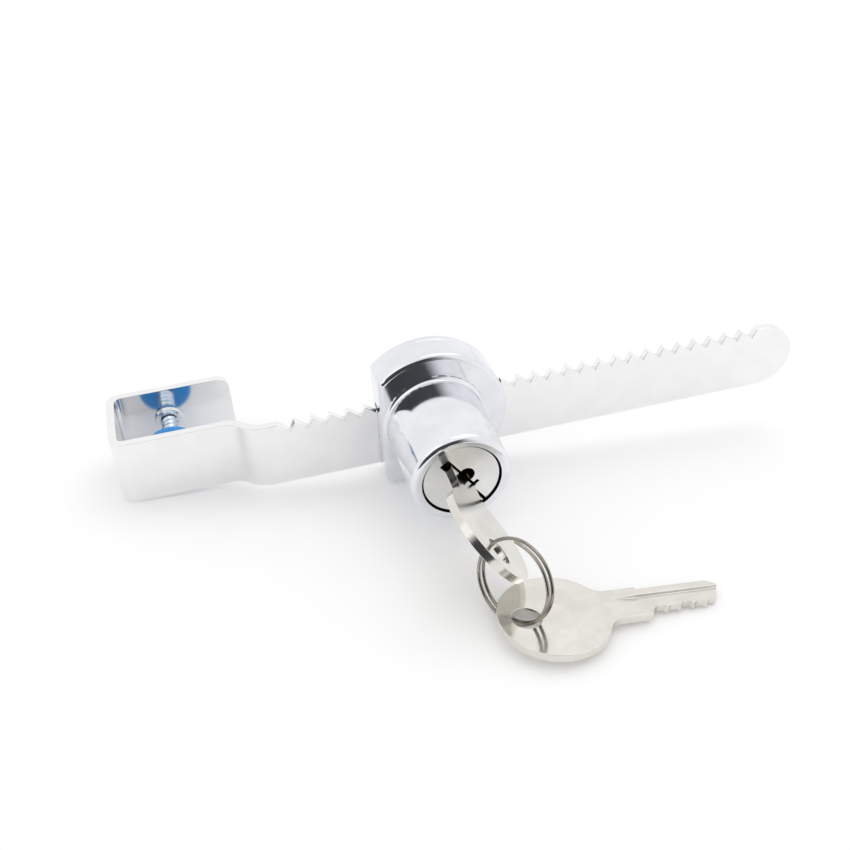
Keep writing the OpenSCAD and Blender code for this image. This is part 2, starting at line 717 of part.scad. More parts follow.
ratchet_bar();
clamp_screw();
clamp_pad();
lock_housing();
back_cover();
cover_rivets();
plug();
tail_pin();
plug_clip();
wafer(1);  // wafer_1
wafer(2);  // wafer_2
wafer(3);  // wafer_3
wafer(4);  // wafer_4
wafer(5);  // wafer_5
wafer_spring(1);  // wafer_spring_1
wafer_spring(2);  // wafer_spring_2
wafer_spring(3);  // wafer_spring_3
wafer_spring(4);  // wafer_spring_4
wafer_spring(5);  // wafer_spring_5
pawl();
pawl_spring();
key_inserted();
key_spare();
split_ring();
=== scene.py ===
"""Dresses the ratchet lock for sliding glass doors and sets up its studio.

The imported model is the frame. The sheet-metal, cast and turned pieces are copies of its
nodes with rounded edges. The barrel is turned smooth, the clamp screw gets a real thread and
the key ring a round wire. Every piece gets a finish of its own. Lengths are metres in the
frame's axes, and angles are degrees.
"""

import json
import logging
import math
from dataclasses import dataclass, replace
from enum import Enum
from typing import Any, Optional, Sequence, Union

import bpy
from mathutils import Matrix, Vector

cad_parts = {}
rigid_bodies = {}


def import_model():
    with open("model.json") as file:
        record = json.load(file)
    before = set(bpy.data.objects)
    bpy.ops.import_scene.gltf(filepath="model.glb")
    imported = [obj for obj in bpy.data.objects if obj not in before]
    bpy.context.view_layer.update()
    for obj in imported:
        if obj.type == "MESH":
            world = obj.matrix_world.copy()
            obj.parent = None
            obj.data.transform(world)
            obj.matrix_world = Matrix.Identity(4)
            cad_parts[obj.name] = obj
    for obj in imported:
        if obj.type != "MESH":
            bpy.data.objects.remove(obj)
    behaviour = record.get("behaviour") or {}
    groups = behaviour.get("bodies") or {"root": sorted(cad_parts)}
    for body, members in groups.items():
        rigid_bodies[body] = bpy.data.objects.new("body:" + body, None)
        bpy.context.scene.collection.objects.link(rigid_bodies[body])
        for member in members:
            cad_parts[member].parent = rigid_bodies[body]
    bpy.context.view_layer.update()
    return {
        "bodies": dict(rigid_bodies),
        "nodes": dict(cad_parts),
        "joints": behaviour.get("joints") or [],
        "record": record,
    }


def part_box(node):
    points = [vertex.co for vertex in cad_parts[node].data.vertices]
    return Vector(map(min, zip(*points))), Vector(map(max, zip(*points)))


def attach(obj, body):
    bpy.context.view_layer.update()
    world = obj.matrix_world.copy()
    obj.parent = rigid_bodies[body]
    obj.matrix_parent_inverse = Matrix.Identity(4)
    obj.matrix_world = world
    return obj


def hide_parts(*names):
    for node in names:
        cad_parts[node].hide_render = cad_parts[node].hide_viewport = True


LOG = logging.getLogger("ratchet_lock")
MM = 0.001
WELD = 0.002 * MM
Colour = tuple[float, float, float]
Number = Union[float, "Shade"]
Inputs = dict[Union[str, int], Any]


class Shade:
    """A shader value whose arithmetic adds Math nodes to its board."""

    def __init__(self, board: "Board", socket: bpy.types.NodeSocket) -> None:
        """Keeps the board and the socket that gives the value."""
        self.board = board
        self.socket = socket

    def _math(self, operation: str, first: Number, second: Number) -> "Shade":
        """One Math node on two values."""
        return self.board.value("ShaderNodeMath", {"operation": operation}, {0: first, 1: second})

    def __add__(self, other: Number) -> "Shade":
        """The sum of two values."""
        return self._math("ADD", self, other)

    def __radd__(self, other: Number) -> "Shade":
        """The sum of a number and this value."""
        return self._math("ADD", other, self)

    def __sub__(self, other: Number) -> "Shade":
        """This value less another."""
        return self._math("SUBTRACT", self, other)

    def __rsub__(self, other: Number) -> "Shade":
        """A number less this value."""
        return self._math("SUBTRACT", other, self)

    def __mul__(self, other: Number) -> "Shade":
        """The product of two values."""
        return self._math("MULTIPLY", self, other)

    def __rmul__(self, other: Number) -> "Shade":
        """The product of a number and this value."""
        return self._math("MULTIPLY", other, self)

    def rising(self, low: float, high: float) -> "Shade":
        """Eases from 0 at one value to 1 at another.

        Args:
            low: value where the result is 0.
            high: value where the result is 1; it may be below low.

        Returns:
            The eased value.
        """
        return self.board.value("ShaderNodeMapRange", {"interpolation_type": "SMOOTHSTEP"},
                                {"Value": self, "From Min": low, "From Max": high})


class Board:
    """The nodes of one material or world.

    A Mix node has sockets for each type of data. The places of those for colours are named here.
    """

    MIX_FACTOR = 0
    MIX_FIRST = 6
    MIX_SECOND = 7
    MIX_RESULT = 2

    def __init__(self, tree: bpy.types.NodeTree) -> None:
        """Clears a node tree to build on."""
        self.tree = tree
        self.tree.nodes.clear()

    def add(self, kind: str, settings: Optional[dict[str, Any]] = None,
            sockets: Optional[Inputs] = None) -> bpy.types.Node:
        """Adds one node.

        Args:
            kind: Blender's name of the node type.
            settings: the node's own settings, set first.
            sockets: numbers, colours or Shades for its inputs, by name or place.

        Returns:
            The new node.
        """
        node = self.tree.nodes.new(kind)
        for name, setting in (settings or {}).items():
            setattr(node, name, setting)
        for name, given in (sockets or {}).items():
            self.feed(node.inputs[name], given)
        return node

    def value(self, kind: str, settings: Optional[dict[str, Any]] = None,
              sockets: Optional[Inputs] = None, output: Union[str, int] = 0) -> Shade:
        """Adds one node and gives one of its outputs, with the arguments of add."""
        return Shade(self, self.add(kind, settings, sockets).outputs[output])

    def feed(self, socket: bpy.types.NodeSocket, given: Any) -> None:
        """Sets a socket to a number or colour, or links a Shade to it.

        Args:
            socket: the input to set.
            given: what it gets.
        """
        if isinstance(given, Shade):
            self.tree.links.new(given.socket, socket)
        else:
            socket.default_value = given

    def mixed(self, factor: Number, first: Any, second: Any) -> Shade:
        """Blends two colours.

        Args:
            factor: 0 gives the first colour and 1 the second.
            first: a colour or a Shade.
            second: a colour or a Shade.

        Returns:
            The blended colour.
        """
        return self.value("ShaderNodeMix", {"data_type": "RGBA"}, {
            self.MIX_FACTOR: factor, self.MIX_FIRST: first, self.MIX_SECOND: second},
            output=self.MIX_RESULT)


class Grain(Enum):
    """How a surface was made, which sets the marks on it."""

    CAST = "cast and polished"
    ROLLED = "rolled strip"
    TURNED = "turned on a lathe"
    STAMPED = "stamped and tumbled"
    DRAWN = "drawn wire"
    MOULDED = "moulded plastic"


MARKS_PER_METRE = {
    Grain.CAST: (420.0, 420.0, 420.0),
    Grain.ROLLED: (90.0, 90.0, 3600.0),
    Grain.STAMPED: (900.0, 900.0, 900.0),
    Grain.DRAWN: (1800.0, 1800.0, 1800.0),
    Grain.MOULDED: (2400.0, 2400.0, 2400.0),
}
RINGS_PER_METRE = 6500.0
RINGS_DETAIL = 2.0
CLOUDS_PER_METRE = 220.0
CLOUD_RANGE = (0.35, 0.68)
NOISE_DETAIL = 3.0


@dataclass(frozen=True)
class PaintedShadeHollow:
    """An unplated hollow round the barrel's axis, rougher and painted near-black as shade behind a
    given depth.
    """

    axis_x: float
    axis_z: float
    radius: float
    from_y: float
    # Near-black colour of the painted shade in the hollow.
    colour: Colour = (0.012, 0.011, 0.010)
    dullness: float = 0.4
    edge_blur: float = 0.01
    fade: float = 0.15 * MM

    def mask(self, board: Board, place: Shade) -> Shade:
        """1 in the hollow, where shade is painted, and 0 on the plated outside.

        Args:
            board: the material's nodes.
            place: its Object coordinates.

        Returns:
            The mask.
        """
        parts = board.add("ShaderNodeSeparateXYZ", {}, {0: place})
        across = Shade(board, parts.outputs[0]) - self.axis_x
        along = Shade(board, parts.outputs[1])
        up = Shade(board, parts.outputs[2]) - self.axis_z
        squared = across * across + up * up
        limit = self.radius ** 2
        inside = squared.rising(limit * (1.0 + self.edge_blur), limit * (1.0 - self.edge_blur))
        return inside * along.rising(self.from_y, self.from_y + self.fade)


@dataclass(frozen=True)
class Finish:
    """One surface: its colour, gloss and marks, and any painted shade in a hollow."""

    name: str
    slot: str
    grain: Grain
    colour: Colour
    cloud: Colour
    roughness: float
    spread: float
    relief: float
    metallic: float = 1.0
    axis: tuple[float, float] = (0.0, 0.0)
    # The hollow where shade is painted, if any.
    hollow: Optional[PaintedShadeHollow] = None

    def material(self) -> bpy.types.Material:
        """Makes the material once, and gives the same one after that.

        Returns:
            The material.
        """
        made = bpy.data.materials.get(self.name)
        if made is not None:
            return made
        made = bpy.data.materials.new(self.name)
        made.use_nodes = True
        board = Board(made.node_tree)
        shader = board.add("ShaderNodeBsdfPrincipled", {}, {"Metallic": self.metallic})
        output = board.add("ShaderNodeOutputMaterial")
        board.tree.links.new(shader.outputs[0], output.inputs["Surface"])
        place = board.value("ShaderNodeTexCoord", output="Object")
        marks = self._marks(board, place)
        clouds = board.value("ShaderNodeTexNoise", {}, {
            "Vector": place, "Scale": CLOUDS_PER_METRE, "Detail": NOISE_DETAIL})
        tint = board.mixed(clouds.rising(*CLOUD_RANGE), (*self.colour, 1.0), (*self.cloud, 1.0))
        gloss = marks * self.spread + (self.roughness - self.spread / 2)
        # Painted shade: the hollow is tinted near-black and made rougher.
        if self.hollow is not None:
            dark = self.hollow.mask(board, place)
            tint = board.mixed(dark, tint, (*self.hollow.colour, 1.0))
            gloss = gloss + dark * self.hollow.dullness
        board.feed(shader.inputs["Base Color"], tint)
        board.feed(shader.inputs["Roughness"], gloss)
        bump = board.value("ShaderNodeBump", {}, {
            "Strength": 1.0, "Distance": self.relief, "Height": marks}, output="Normal")
        board.feed(shader.inputs["Normal"], bump)
        return made

    def _marks(self, board: Board, place: Shade) -> Shade:
        """Height of the maker's marks, from 0 to 1, by the surface's grain.

        Args:
            board: the material's nodes.
            place: its Object coordinates.

        Returns:
            The height.
        """
        if self.grain is Grain.TURNED:
            centred = board.value("ShaderNodeMapping", {}, {
                "Vector": place, "Location": (-self.axis[0], 0.0, -self.axis[1]),
                "Scale": (1.0, 0.0, 1.0)})
            reach = board.value("ShaderNodeVectorMath", {"operation": "LENGTH"}, {0: centred},
                                output="Value")
            lathe = board.value("ShaderNodeCombineXYZ", {}, {0: reach})
            return board.value("ShaderNodeTexNoise", {}, {
                "Vector": lathe, "Scale": RINGS_PER_METRE, "Detail": RINGS_DETAIL})
        scaled = board.value("ShaderNodeMapping", {}, {
            "Vector": place, "Scale": MARKS_PER_METRE[self.grain]})
        return board.value("ShaderNodeTexNoise", {}, {
            "Vector": scaled, "Scale": 1.0, "Detail": NOISE_DETAIL})


class Bench:
    """Hand tools of the modeller: selection, copies of nodes, edges and modifiers."""

    def __init__(self, frame: dict[str, Any]) -> None:
        """Keeps the loaded frame."""
        self.frame = frame

    @staticmethod
    def pick(piece: bpy.types.Object) -> None:
        """Makes one object the only selected and active one.

        Args:
            piece: the object.
        """
        bpy.ops.object.select_all(action="DESELECT")
        piece.select_set(True)
        bpy.context.view_layer.objects.active = piece

    def copy(self, node: str, name: str) -> bpy.types.Object:
        """Copies a node's mesh into a new piece and merges its loose triangles.

        Args:
            node: the node's name.
            name: the new piece's name.

        Returns:
            The new piece.
        """
        source = self.frame["nodes"][node]
        mesh = source.data.copy()
        mesh.name = name
        mesh.transform(source.matrix_world)
        mesh.materials.clear()
        piece = bpy.data.objects.new(name, mesh)
        bpy.context.scene.collection.objects.link(piece)
        self.pick(piece)
        bpy.ops.object.mode_set(mode="EDIT")
        bpy.ops.mesh.select_all(action="SELECT")
        bpy.ops.mesh.remove_doubles(threshold=WELD)
        bpy.ops.object.mode_set(mode="OBJECT")
        return piece

    def flatten(self, piece: bpy.types.Object, angle: float = 0.4) -> None:
        """Dissolves the edges inside flat faces.

        Args:
            piece: the piece to clean.
            angle: largest turn across a dissolved edge, in degrees.
        """
        self.pick(piece)
        bpy.ops.object.mode_set(mode="EDIT")
        bpy.ops.mesh.select_all(action="SELECT")
        bpy.ops.mesh.dissolve_limited(angle_limit=math.radians(angle))
        bpy.ops.object.mode_set(mode="OBJECT")

    def apply(self, piece: bpy.types.Object, kind: str, **settings: Any) -> None:
        """Adds a modifier with its settings and applies it.

        Args:
            piece: the piece to change.
            kind: Blender's name of the modifier type.
            **settings: the modifier's settings.
        """
        self.pick(piece)
        modifier = piece.modifiers.new(kind.title(), kind)
        for name, setting in settings.items():
            setattr(modifier, name, setting)
        bpy.ops.object.modifier_apply(modifier=modifier.name)

    def round_edges(self, piece: bpy.types.Object, width: float, segments: int = 2,
                    angle: float = 28.0) -> None:
        """Rounds the sharp edges of a piece.

        Args:
            piece: the piece to change.
            width: size of the rounding.
            segments: steps across it.
            angle: an edge that turns by more than this, in degrees, is rounded.
        """
        self.apply(piece, "BEVEL", width=width, segments=segments, limit_method="ANGLE",
                   angle_limit=math.radians(angle), use_clamp_overlap=True, loop_slide=False)

    def smooth(self, piece: bpy.types.Object, angle: float = 32.0) -> None:
        """Shades a piece smooth, with flat faces flat right up to their rounded edges.

        Args:
            piece: the piece to shade.
            angle: an edge that turns by more than this, in degrees, stays sharp.
        """
        self.pick(piece)
        bpy.ops.object.shade_smooth_by_angle(angle=math.radians(angle))
        self.apply(piece, "WEIGHTED_NORMAL", mode="FACE_AREA_WITH_ANGLE", weight=50,
                   keep_sharp=True)

    def line(self, points: Sequence[tuple[float, float]], place: Vector) -> bpy.types.Object:
        """Draws an open line of edges beside an axis along Y.

        Args:
            points: distance out along X and place along Y of each point.
            place: a point of the axis.

        Returns:
            The line, with its origin at that point.
        """
        bpy.ops.object.select_all(action="DESELECT")
        bpy.ops.mesh.primitive_plane_add(size=1.0 * MM, location=place)
        drawn = bpy.context.active_object
        bpy.ops.object.mode_set(mode="EDIT")
        bpy.ops.mesh.select_mode(type="VERT")
        bpy.ops.mesh.select_all(action="SELECT")
        bpy.ops.mesh.merge(type="CENTER")
        bpy.ops.transform.translate(value=(*points[0], 0.0))
        for last, point in zip(points, points[1:]):
            step = (point[0] - last[0], point[1] - last[1], 0.0)
            bpy.ops.mesh.extrude_vertices_move(TRANSFORM_OT_translate={"value": step})
        bpy.ops.object.mode_set(mode="OBJECT")
        return drawn

    def face_outwards(self, piece: bpy.types.Object) -> None:
        """Turns all faces of a piece outwards.

        Args:
            piece: the piece to change.
        """
        self.pick(piece)
        bpy.ops.object.mode_set(mode="EDIT")
        bpy.ops.mesh.select_all(action="SELECT")
        bpy.ops.mesh.normals_make_consistent(inside=False)
        bpy.ops.object.mode_set(mode="OBJECT")

    def dress(self, piece: bpy.types.Object, finish: Finish) -> None:
        """Gives a piece its one material."""
        piece.data.materials.clear()
        piece.data.materials.append(finish.material())

    def dress_node(self, node: str, finish: Finish) -> None:
        """Gives a node that stays as it is a material of its own.

        Args:
            node: the node's name.
            finish: its finish.
        """
        piece = self.frame["nodes"][node]
        if not piece.material_slots:
            piece.data.materials.append(None)
        for slot in piece.material_slots:
            slot.material = finish.material()
        LOG.info("%s keeps its solid, in %s", node, finish.name)

    def stand_for(self, piece: bpy.types.Object, finish: Finish, body: str, *nodes: str) -> None:
        """Finishes a piece that takes the place of nodes.

        Args:
            piece: the finished piece.
            finish: its finish.
            body: body that it moves with.
            *nodes: nodes that it takes the place of.
        """
        self.dress(piece, finish)
        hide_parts(*nodes)
        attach(piece, body)
        faces = len(piece.data.polygons)
        LOG.info("%s: %d faces, in %s, on %s", piece.name, faces, finish.name, body)

    def rounded_node(self, node: str, finish: Finish, body: str, width: float,
                     segments: int = 2) -> None:
        """Replaces a node by a copy of it with rounded edges.

        Args:
            node: the node's name.
            finish: the copy's finish.
            body: body that it moves with.
            width: size of the rounding.
            segments: steps across it.
        """
        piece = self.copy(node, node + "_finished")
        self.flatten(piece)
        self.round_edges(piece, width, segments)
        self.smooth(piece)
        self.stand_for(piece, finish, body, node)


@dataclass
class HookedBar:
    """The toothed strip with its hook."""

    bench: Bench
    edge: float = 0.2 * MM

    def build(self) -> None:
        """Rounds the strip's edges and plates it."""
        finish = Finish("bright_plated_strip", "bar_steel", Grain.ROLLED, (0.88, 0.88, 0.885),
                        (0.905, 0.905, 0.91), roughness=0.1, spread=0.06, relief=0.001 * MM)
        self.bench.rounded_node("ratchet_bar", finish, "bar", self.edge)


@dataclass
class GlassClamp:
    """The clamp screw with its thread, and the pad on its tip.

    The thread's share is of the head's radius. Its profile gives, for each point of one turn, a
    share of the depth and a share of the pitch.
    """

    bench: Bench
    pitch: float = 1.25 * MM
    depth: float = 0.32 * MM
    edge: float = 0.15 * MM
    pad_edge: float = 0.2 * MM
    steps: int = 28
    head_height: float = 2.0 * MM
    thread_share: float = 1.5 / 2.8
    profile: tuple[tuple[float, float], ...] = (
        (0.0, 0.0), (0.0, 0.2), (1.0, 0.48), (1.0, 0.6), (0.0, 0.88), (0.0, 1.0))
    head_overlap: float = 0.02 * MM
    tip_overlap: float = 0.3 * MM
    thread_start: float = 0.1 * MM
    thread_weld: float = 0.004 * MM
    sharp: float = 38.0

    def build(self) -> None:
        """Makes the screw and the pad."""
        self._build_screw()
        plastic = Finish("blue_pad_plastic", "pad_plastic", Grain.MOULDED, (0.025, 0.26, 0.70),
                         (0.03, 0.30, 0.74), roughness=0.38, spread=0.12, relief=0.002 * MM,
                         metallic=0.0)
        self.bench.rounded_node("clamp_pad", plastic, "pad", self.pad_edge, segments=3)

    def _build_screw(self) -> None:
        """Keeps the solid's head and tip, and winds a thread between them."""
        bench = self.bench
        low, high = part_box("clamp_screw")
        thread_r = (high[0] - low[0]) / 2 * self.thread_share
        pad_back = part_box("clamp_pad")[1][1]
        seat = high[1] - self.head_height
        zinc = Finish("blue_zinc_plate", "screw_zinc", Grain.DRAWN, (0.58, 0.68, 0.80),
                      (0.66, 0.74, 0.84), roughness=0.22, spread=0.1, relief=0.0015 * MM)
        head = bench.copy("clamp_screw", "clamp_screw_finished")
        self._keep(head, seat - self.head_overlap, forward=True)
        bench.flatten(head)
        bench.round_edges(head, self.edge)
        tip = bench.copy("clamp_screw", "screw_tip")
        self._keep(tip, pad_back + self.tip_overlap, forward=False)
        thread = self._thread(thread_r, pad_back + self.thread_start, seat)
        bench.pick(head)
        tip.select_set(True)
        thread.select_set(True)
        bpy.ops.object.join()
        bench.smooth(head, self.sharp)
        bench.stand_for(head, zinc, "screw", "clamp_screw")

    def _keep(self, piece: bpy.types.Object, at_y: float, forward: bool) -> None:
        """Cuts a piece across Y and keeps one side, closed.

        Args:
            piece: the piece to cut.
            at_y: place of the cut.
            forward: True keeps what lies beyond the cut, towards +Y.
        """
        self.bench.pick(piece)
        bpy.ops.object.mode_set(mode="EDIT")
        bpy.ops.mesh.select_all(action="SELECT")
        bpy.ops.mesh.bisect(plane_co=(0.0, at_y, 0.0), plane_no=(0.0, 1.0, 0.0), use_fill=True,
                            clear_inner=forward, clear_outer=not forward)
        bpy.ops.object.mode_set(mode="OBJECT")

    def _thread(self, radius: float, from_y: float, to_y: float) -> bpy.types.Object:
        """Winds one turn's profile into a thread along Y.

        Args:
            radius: outer radius of the thread.
            from_y: start of the thread.
            to_y: its end.

        Returns:
            The thread as a closed piece.
        """
        turns = int((to_y - from_y) / self.pitch) - 1
        root = radius - self.depth
        thread = self.bench.line([(root + out * self.depth, from_y + along * self.pitch)
                                  for out, along in self.profile], Vector())
        self.bench.apply(thread, "SCREW", axis="Y", angle=math.tau, screw_offset=self.pitch,
                         iterations=turns, steps=self.steps, render_steps=self.steps,
                         use_merge_vertices=True, merge_threshold=self.thread_weld)
        self.bench.pick(thread)
        bpy.ops.object.mode_set(mode="EDIT")
        bpy.ops.mesh.select_all(action="SELECT")
        bpy.ops.mesh.remove_doubles(threshold=self.thread_weld)
        bpy.ops.mesh.select_all(action="DESELECT")
        bpy.ops.mesh.select_mode(type="EDGE")
        bpy.ops.mesh.select_non_manifold(extend=False)
        bpy.ops.mesh.edge_face_add()
        bpy.ops.object.mode_set(mode="OBJECT")
        self.bench.face_outwards(thread)
        return thread


@dataclass
class LockBody:
    """The cast head and barrel, with the cover riveted on its back."""

    bench: Bench
    axis_x: float
    axis_z: float
    edge: float = 0.18 * MM
    cover_edge: float = 0.22 * MM
    rivet_edge: float = 0.08 * MM
    mouth_gap: float = 0.44 * MM
    # Depth behind the barrel's front where the painted shade begins.
    shade_inset: float = 0.5 * MM
    barrel_r: float = 8.8 * MM
    rim_round: float = 1.1 * MM
    root_fillet: float = 0.9 * MM
    root_depth: float = 17.6 * MM
    arc: int = 12
    turns: int = 144
    slack: float = 0.005 * MM
    last_ring: float = 75.0
    seam: float = 1.0

    def build(self) -> None:
        """Rounds and plates the casting and its cover."""
        face_low, face_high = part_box("plug")
        mouth = (face_high[0] - face_low[0]) / 2 + self.mouth_gap
        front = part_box("lock_housing")[0][1]
        # Painted shade: the bore behind the front is tinted near-black.
        hollow = PaintedShadeHollow(self.axis_x, self.axis_z, mouth, front + self.shade_inset)
        chrome = Finish("polished_chrome_casting", "body_chrome", Grain.CAST, (0.785, 0.80, 0.835),
                        (0.845, 0.857, 0.885), roughness=0.1, spread=0.06, relief=0.004 * MM,
                        hollow=hollow)
        plate = replace(chrome, name="polished_chrome_cover", hollow=None)
        steel = Finish("riveted_steel", "rivet_steel", Grain.DRAWN, (0.55, 0.55, 0.55),
                       (0.62, 0.62, 0.62), roughness=0.28, spread=0.12, relief=0.002 * MM)
        self._build_casting(chrome, front)
        self.bench.rounded_node("back_cover", plate, "housing", self.cover_edge)
        self.bench.rounded_node("cover_rivets", steel, "housing", self.rivet_edge)

    def _build_casting(self, finish: Finish, front: float) -> None:
        """Rounds the casting and turns its barrel lathe-smooth.

        Args:
            finish: its finish.
            front: y of the barrel's front.
        """
        casting = self.bench.copy("lock_housing", "lock_housing_finished")
        self.bench.flatten(casting)
        self.bench.round_edges(casting, self.edge)
        self._strip_barrel(casting, front)
        barrel = self._turned_barrel(front)
        self.bench.pick(casting)
        barrel.select_set(True)
        bpy.ops.object.join()
        self._stitch(casting, front, front + self.rim_round)
        self._stitch(casting, front + self.root_depth - self.root_fillet, front + self.root_depth)
        self.bench.smooth(casting)
        self.bench.stand_for(casting, finish, "housing", "lock_housing")

    def _ring_at(self, point: Vector) -> float:
        """Distance of a point from the barrel's axis."""
        return math.hypot(point.x - self.axis_x, point.z - self.axis_z)

    def _strip_barrel(self, casting: bpy.types.Object, front: float) -> None:
        """Deletes the flats of the barrel's rim, side and root.

        Args:
            casting: the casting.
            front: y of the barrel's front.
        """
        turn = math.radians(self.last_ring)
        inner = self.barrel_r - self.rim_round - self.slack
        outer = self.barrel_r + self.root_fillet * (1.0 - math.cos(turn)) + self.slack
        deepest = front + self.root_depth - self.root_fillet * (1.0 - math.sin(turn)) + self.slack
        points = casting.data.vertices
        on_barrel = [inner < self._ring_at(point.co) < outer and point.co.y < deepest
                     for point in points]
        self.bench.pick(casting)
        bpy.ops.object.mode_set(mode="EDIT")
        bpy.ops.mesh.select_mode(type="FACE")
        bpy.ops.mesh.select_all(action="DESELECT")
        bpy.ops.object.mode_set(mode="OBJECT")
        for face in casting.data.polygons:
            face.select = all(on_barrel[corner] for corner in face.vertices)
        bpy.ops.object.mode_set(mode="EDIT")
        bpy.ops.mesh.delete(type="FACE")
        bpy.ops.object.mode_set(mode="OBJECT")

    def _stitch(self, casting: bpy.types.Object, from_y: float, to_y: float) -> None:
        """Joins the open rings of the casting and of the barrel between two places along Y.

        Args:
            casting: the casting with its barrel.
            from_y: start of the stretch.
            to_y: its end.
        """
        self.bench.pick(casting)
        bpy.ops.object.mode_set(mode="EDIT")
        bpy.ops.mesh.select_mode(type="EDGE")
        bpy.ops.mesh.select_all(action="DESELECT")
        bpy.ops.mesh.select_non_manifold(extend=False, use_wire=False, use_multi_face=False,
                                         use_non_contiguous=False, use_verts=False)
        bpy.ops.object.mode_set(mode="OBJECT")
        points = casting.data.vertices
        for edge in casting.data.edges:
            places = [points[corner].co.y for corner in edge.vertices]
            near = from_y - self.slack < min(places) and max(places) < to_y + self.slack
            edge.select = edge.select and near
        bpy.ops.object.mode_set(mode="EDIT")
        bpy.ops.mesh.bridge_edge_loops()
        bpy.ops.object.mode_set(mode="OBJECT")
        self.bench.face_outwards(casting)

    def _turned_barrel(self, front: float) -> bpy.types.Object:
        """Turns the barrel's rim, side and root fillet about its axis.

        Args:
            front: y of the barrel's front.

        Returns:
            The barrel, open at both ends, a seam away from the casting's rings.
        """
        quarter = [math.radians(90.0 * step / self.arc) for step in range(self.arc + 1)]
        rim_r = self.barrel_r - self.rim_round
        root_r = self.barrel_r + self.root_fillet
        rim_y = front + self.rim_round
        root_y = front + self.root_depth - self.root_fillet
        seam = math.radians(self.seam)
        end = math.radians(self.last_ring) - seam
        profile = [(rim_r + self.rim_round * math.sin(a), rim_y - self.rim_round * math.cos(a))
                   for a in (seam, *quarter[1:])]
        fillet = [a for a in quarter if a < end]
        profile += [(root_r - self.root_fillet * math.cos(a), root_y + self.root_fillet * math.sin(a))
                    for a in (*fillet, end)]
        barrel = self.bench.line(profile, Vector((self.axis_x, 0.0, self.axis_z)))
        self.bench.apply(barrel, "SCREW", axis="Y", angle=math.tau, screw_offset=0.0,
                         steps=self.turns, render_steps=self.turns, use_merge_vertices=True,
                         merge_threshold=WELD)
        self.bench.face_outwards(barrel)
        return barrel


@dataclass
class LockCore:
    """The plug with its wafers, and the pawl that it lifts."""

    bench: Bench
    axis_x: float
    axis_z: float
    edge: float = 0.1 * MM
    # Depth behind the plug's face where the painted shade begins.
    shade_inset: float = 0.3 * MM
    wafers: int = 5

    def build(self) -> None:
        """Finishes the plug's face and gives the inner pieces their metals."""
        low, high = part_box("plug")
        # Painted shade: everything of the plug behind its face, keyway included, is tinted
        # near-black.
        hollow = PaintedShadeHollow(self.axis_x, self.axis_z, high[0] - low[0], low[1] + self.shade_inset)
        face = Finish("turned_nickel_face", "plug_nickel", Grain.TURNED, (0.79, 0.788, 0.78),
                      (0.85, 0.848, 0.84), roughness=0.22, spread=0.14, relief=0.003 * MM,
                      axis=(self.axis_x, self.axis_z), hollow=hollow)
        steel = Finish("plain_steel", "inner_steel", Grain.DRAWN, (0.42, 0.42, 0.43),
                       (0.50, 0.50, 0.51), roughness=0.35, spread=0.15, relief=0.003 * MM)
        wire = Finish("spring_wire", "spring_steel", Grain.DRAWN, (0.46, 0.46, 0.48),
                      (0.54, 0.54, 0.56), roughness=0.3, spread=0.12, relief=0.002 * MM)
        brass = Finish("oiled_brass", "wafer_brass", Grain.STAMPED, (0.42, 0.28, 0.11),
                       (0.50, 0.34, 0.15), roughness=0.3, spread=0.16, relief=0.003 * MM)
        self.bench.rounded_node("plug", face, "plug", self.edge)
        for node in ("tail_pin", "plug_clip", "pawl"):
            self.bench.dress_node(node, steel)
        for number in range(1, self.wafers + 1):
            self.bench.dress_node(f"wafer_{number}", brass)
            self.bench.dress_node(f"wafer_spring_{number}", wire)
        self.bench.dress_node("pawl_spring", wire)


@dataclass
class KeySet:
    """Two keys on a split ring."""

    bench: Bench
    edge: float = 0.2 * MM
    wire_swell: float = 0.02 * MM
    wire_levels: int = 2
    wire_sharp: float = 80.0
    quad_face_turn: float = 50.0
    quad_shape_turn: float = 60.0

    def build(self) -> None:
        """Rounds the stamped keys and the ring's wire."""
        nickel = Finish("warm_nickel_key", "key_nickel", Grain.STAMPED, (0.72, 0.70, 0.65),
                        (0.79, 0.77, 0.72), roughness=0.15, spread=0.1, relief=0.003 * MM)
        wire = Finish("nickel_wire", "ring_nickel", Grain.DRAWN, (0.27, 0.25, 0.22),
                      (0.37, 0.35, 0.31), roughness=0.1, spread=0.06, relief=0.0015 * MM)
        self.bench.rounded_node("key_inserted", nickel, "key", self.edge, segments=3)
        self.bench.rounded_node("key_spare", nickel, "spare", self.edge, segments=3)
        self._build_ring(wire)

    def _build_ring(self, finish: Finish) -> None:
        """Rounds the six-sided wire of the solid and keeps the ring as wide as it was.

        Args:
            finish: the ring's finish.
        """
        ring = self.bench.copy("split_ring", "split_ring_finished")
        centre, reach = self._reach(ring)
        self.bench.pick(ring)
        bpy.ops.object.mode_set(mode="EDIT")
        bpy.ops.mesh.select_all(action="SELECT")
        bpy.ops.mesh.tris_convert_to_quads(face_threshold=math.radians(self.quad_face_turn),
                                           shape_threshold=math.radians(self.quad_shape_turn))
        bpy.ops.object.mode_set(mode="OBJECT")
        self.bench.apply(ring, "SUBSURF", levels=self.wire_levels, render_levels=self.wire_levels)
        widened = Matrix.Scale(reach / self._reach(ring)[1], 4)
        ring.data.transform(Matrix.Translation(centre) @ widened @ Matrix.Translation(-centre))
        self.bench.apply(ring, "DISPLACE", strength=self.wire_swell, mid_level=0.0)
        self.bench.smooth(ring, self.wire_sharp)
        self.bench.stand_for(ring, finish, "ring", "split_ring")

    @staticmethod
    def _reach(ring: bpy.types.Object) -> tuple[Vector, float]:
        """Measures a ring.

        Args:
            ring: the ring's piece.

        Returns:
            The middle of its points, and their mean distance from there.
        """
        points = [vertex.co.copy() for vertex in ring.data.vertices]
        middle = sum(points, Vector()) / len(points)
        return middle, sum((point - middle).length for point in points) / len(points)


